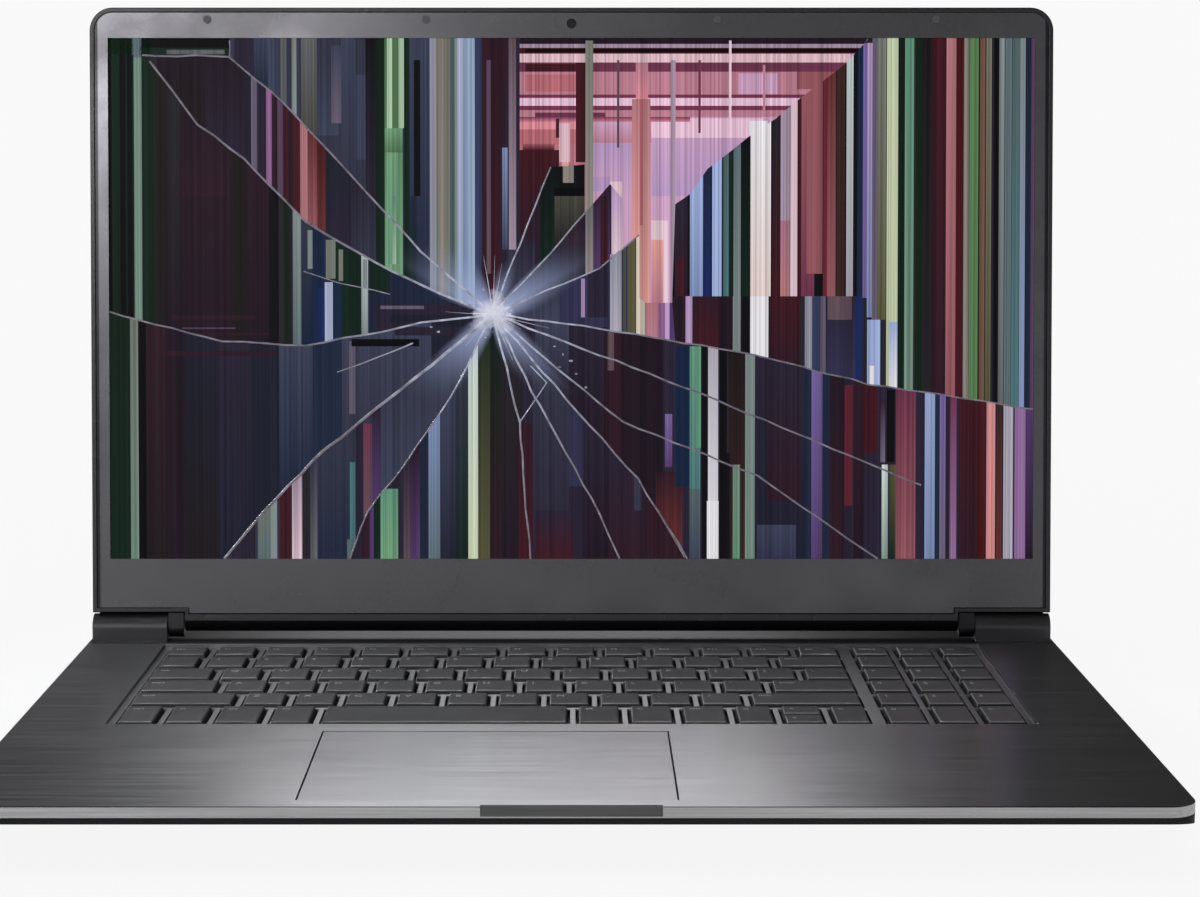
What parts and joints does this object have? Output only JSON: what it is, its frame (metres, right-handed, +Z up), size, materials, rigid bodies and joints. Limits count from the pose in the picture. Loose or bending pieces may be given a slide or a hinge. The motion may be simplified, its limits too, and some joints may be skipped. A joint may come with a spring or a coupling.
{
  "type": "broken laptop computer",
  "caption": "Open clamshell laptop whose display glass is cracked from one point of impact, with hinged lid, keys, touchpad and fan that move.",
  "frame": {"origin": "centre of the open machine's footprint, on the surface that it stands on", "axes": "+X across the width to the user's right, +Y from the front edge to the hinges, +Z up"},
  "size_m": [0.4, 0.2874, 0.281],
  "materials": {
    "deck_metal": "dark brushed, long fine grain across the width",
    "key_web": "fine matt",
    "tray_steel": "plain rolled sheet",
    "dome_rubber": "milky silicone",
    "cover_plastic": "fine spark-eroded texture",
    "foot_rubber": "dull",
    "screw_steel": "black passivated",
    "hinge_cap": "satin dark grey",
    "hinge_steel": "plain zinc",
    "board_green": "solder mask",
    "board_blue": "solder mask",
    "drive_metal": "cast, satin",
    "copper": "satin copper",
    "fan_plastic": "matt",
    "battery_film": "satin wrapped film",
    "speaker_plastic": "matt",
    "socket_metal": "bright tinned",
    "socket_plastic": "satin",
    "touchpad_face": "fine matt, slightly lighter than the deck",
    "key_plastic": "satin black, worn glossy on top",
    "lid_shell": "dark brushed",
    "bezel_paint": "satin grey with a soft sheen",
    "display_glass": "cracked, glossy",
    "display_panel": "lit, split into upright coloured bars by the break",
    "webcam_black": "glossy lens",
    "antenna_foil": "thin foil",
    "cable_black": "flat flexible strip"
  },
  "bodies": {
    "base": {"top_deck": "deck_metal", "keyboard_frame": "key_web", "keyboard_backplate": "tray_steel", "key_domes": "dome_rubber", "bottom_cover": "cover_plastic", "rubber_feet": "foot_rubber", "bottom_screws": "screw_steel", "hinge_cover_left": "hinge_cap", "hinge_cover_right": "hinge_cap", "hinge_bracket_left": "hinge_steel", "hinge_bracket_right": "hinge_steel", "motherboard": "board_green", "port_board": "board_green", "memory_module": "board_green", "storage_drive": "drive_metal", "wireless_card": "board_blue", "heatsink": "copper", "fan_housing": "fan_plastic", "battery_pack": "battery_film", "speaker_left": "speaker_plastic", "speaker_right": "speaker_plastic", "usb_ports": "socket_metal", "video_port": "socket_metal", "audio_jack": "socket_plastic", "power_inlet": "socket_plastic", "touchpad_bracket": "tray_steel"},
    "lid": {"lid_cover": "lid_shell", "screen_bezel": "bezel_paint", "lcd_glass": "display_glass", "lcd_panel": "display_panel", "webcam_module": "webcam_black", "antennas": "antenna_foil", "display_cable": "cable_black", "lid_bumpers": "foot_rubber", "hinge_arm_left": "hinge_steel", "hinge_arm_right": "hinge_steel"},
    "fan_rotor": {"fan_rotor": "fan_plastic"},
    "touchpad": {"touchpad": "touchpad_face"},
    "key_power": {"key_power": "key_plastic"},
    "key_backspace": {"key_backspace": "key_plastic"},
    "key_tab": {"key_tab": "key_plastic"},
    "key_caps": {"key_caps": "key_plastic"},
    "key_enter": {"key_enter": "key_plastic"},
    "key_shift_left": {"key_shift_left": "key_plastic"},
    "key_shift_right": {"key_shift_right": "key_plastic"},
    "key_space": {"key_space": "key_plastic"},
    "keys_function": {"keys_function": "key_plastic"},
    "keys_number": {"keys_number": "key_plastic"},
    "keys_upper": {"keys_upper": "key_plastic"},
    "keys_home": {"keys_home": "key_plastic"},
    "keys_lower": {"keys_lower": "key_plastic"},
    "keys_bottom": {"keys_bottom": "key_plastic"},
    "keys_pad": {"keys_pad": "key_plastic"}
  },
  "joints": [
    {"name": "lid_hinge", "type": "hinge", "parent": "base", "child": "lid", "pos_m": [0, 0.11227, 0.0259], "axis": [-1, 0, 0], "range_deg": [-96, 39]},
    {"name": "fan_spin", "type": "hinge", "parent": "base", "child": "fan_rotor", "pos_m": [-0.128, 0.06827, 0.008], "axis": [0, 0, 1], "continuous": true},
    {"name": "touchpad_click", "type": "hinge", "parent": "base", "child": "touchpad", "pos_m": [-0.027, -0.04453, 0.0197], "axis": [1, 0, 0], "range_deg": [0, 0.5], "stiffness_Nm_per_rad": 20, "springref_deg": -0.23},
    {"name": "key_power_press", "type": "slide", "parent": "base", "child": "key_power", "axis": [0, 0, -1], "range_m": [0, 0.0015], "stiffness_N_per_m": 250, "springref_m": -0.0006},
    {"name": "key_backspace_press", "type": "slide", "parent": "base", "child": "key_backspace", "axis": [0, 0, -1], "range_m": [0, 0.0015], "stiffness_N_per_m": 250, "springref_m": -0.0006},
    {"name": "key_tab_press", "type": "slide", "parent": "base", "child": "key_tab", "axis": [0, 0, -1], "range_m": [0, 0.0015], "stiffness_N_per_m": 250, "springref_m": -0.0006},
    {"name": "key_caps_press", "type": "slide", "parent": "base", "child": "key_caps", "axis": [0, 0, -1], "range_m": [0, 0.0015], "stiffness_N_per_m": 250, "springref_m": -0.0006},
    {"name": "key_enter_press", "type": "slide", "parent": "base", "child": "key_enter", "axis": [0, 0, -1], "range_m": [0, 0.0015], "stiffness_N_per_m": 250, "springref_m": -0.0006},
    {"name": "key_shift_left_press", "type": "slide", "parent": "base", "child": "key_shift_left", "axis": [0, 0, -1], "range_m": [0, 0.0015], "stiffness_N_per_m": 250, "springref_m": -0.0006},
    {"name": "key_shift_right_press", "type": "slide", "parent": "base", "child": "key_shift_right", "axis": [0, 0, -1], "range_m": [0, 0.0015], "stiffness_N_per_m": 250, "springref_m": -0.0006},
    {"name": "key_space_press", "type": "slide", "parent": "base", "child": "key_space", "axis": [0, 0, -1], "range_m": [0, 0.0015], "stiffness_N_per_m": 500, "springref_m": -0.0006},
    {"name": "keys_function_press", "type": "slide", "parent": "base", "child": "keys_function", "axis": [0, 0, -1], "range_m": [0, 0.0015], "stiffness_N_per_m": 4000, "springref_m": -0.0006},
    {"name": "keys_number_press", "type": "slide", "parent": "base", "child": "keys_number", "axis": [0, 0, -1], "range_m": [0, 0.0015], "stiffness_N_per_m": 3250, "springref_m": -0.0006},
    {"name": "keys_upper_press", "type": "slide", "parent": "base", "child": "keys_upper", "axis": [0, 0, -1], "range_m": [0, 0.0015], "stiffness_N_per_m": 3250, "springref_m": -0.0006},
    {"name": "keys_home_press", "type": "slide", "parent": "base", "child": "keys_home", "axis": [0, 0, -1], "range_m": [0, 0.0015], "stiffness_N_per_m": 2750, "springref_m": -0.0006},
    {"name": "keys_lower_press", "type": "slide", "parent": "base", "child": "keys_lower", "axis": [0, 0, -1], "range_m": [0, 0.0015], "stiffness_N_per_m": 2500, "springref_m": -0.0006},
    {"name": "keys_bottom_press", "type": "slide", "parent": "base", "child": "keys_bottom", "axis": [0, 0, -1], "range_m": [0, 0.0015], "stiffness_N_per_m": 2750, "springref_m": -0.0006},
    {"name": "keys_pad_press", "type": "slide", "parent": "base", "child": "keys_pad", "axis": [0, 0, -1], "range_m": [0, 0.0015], "stiffness_N_per_m": 3750, "springref_m": -0.0006}
  ]
}
